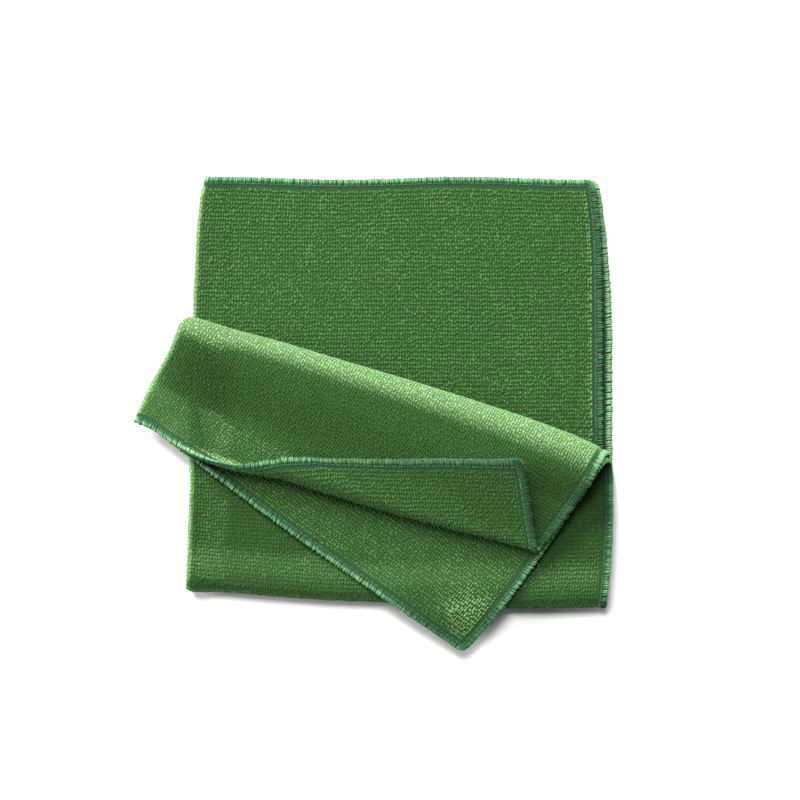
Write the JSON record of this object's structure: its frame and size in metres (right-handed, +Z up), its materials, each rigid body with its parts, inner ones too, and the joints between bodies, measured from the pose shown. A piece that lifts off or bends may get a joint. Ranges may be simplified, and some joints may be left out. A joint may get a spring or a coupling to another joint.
{
  "type": "microfibre cloth, folded in four, upper layers turned down",
  "caption": "Green microfibre cloth with overlocked hem, folded in four, two layers rolled down and one corner turned back.",
  "frame": {"origin": "centre of the bounding box at its bottom, on the surface the cloth lies on", "axes": "+Z up from the surface, +X towards the hemmed side opposite the first fold, +Y away from the second fold"},
  "size_m": [0.2336, 0.225, 0.0346],
  "materials": {
    "microfibre": "matt terry pile of fine loops, green",
    "hem_thread": "textured overlock thread, bluish green"
  },
  "bodies": {
    "root": {"cloth": "microfibre"}
  },
  "joints": []
}
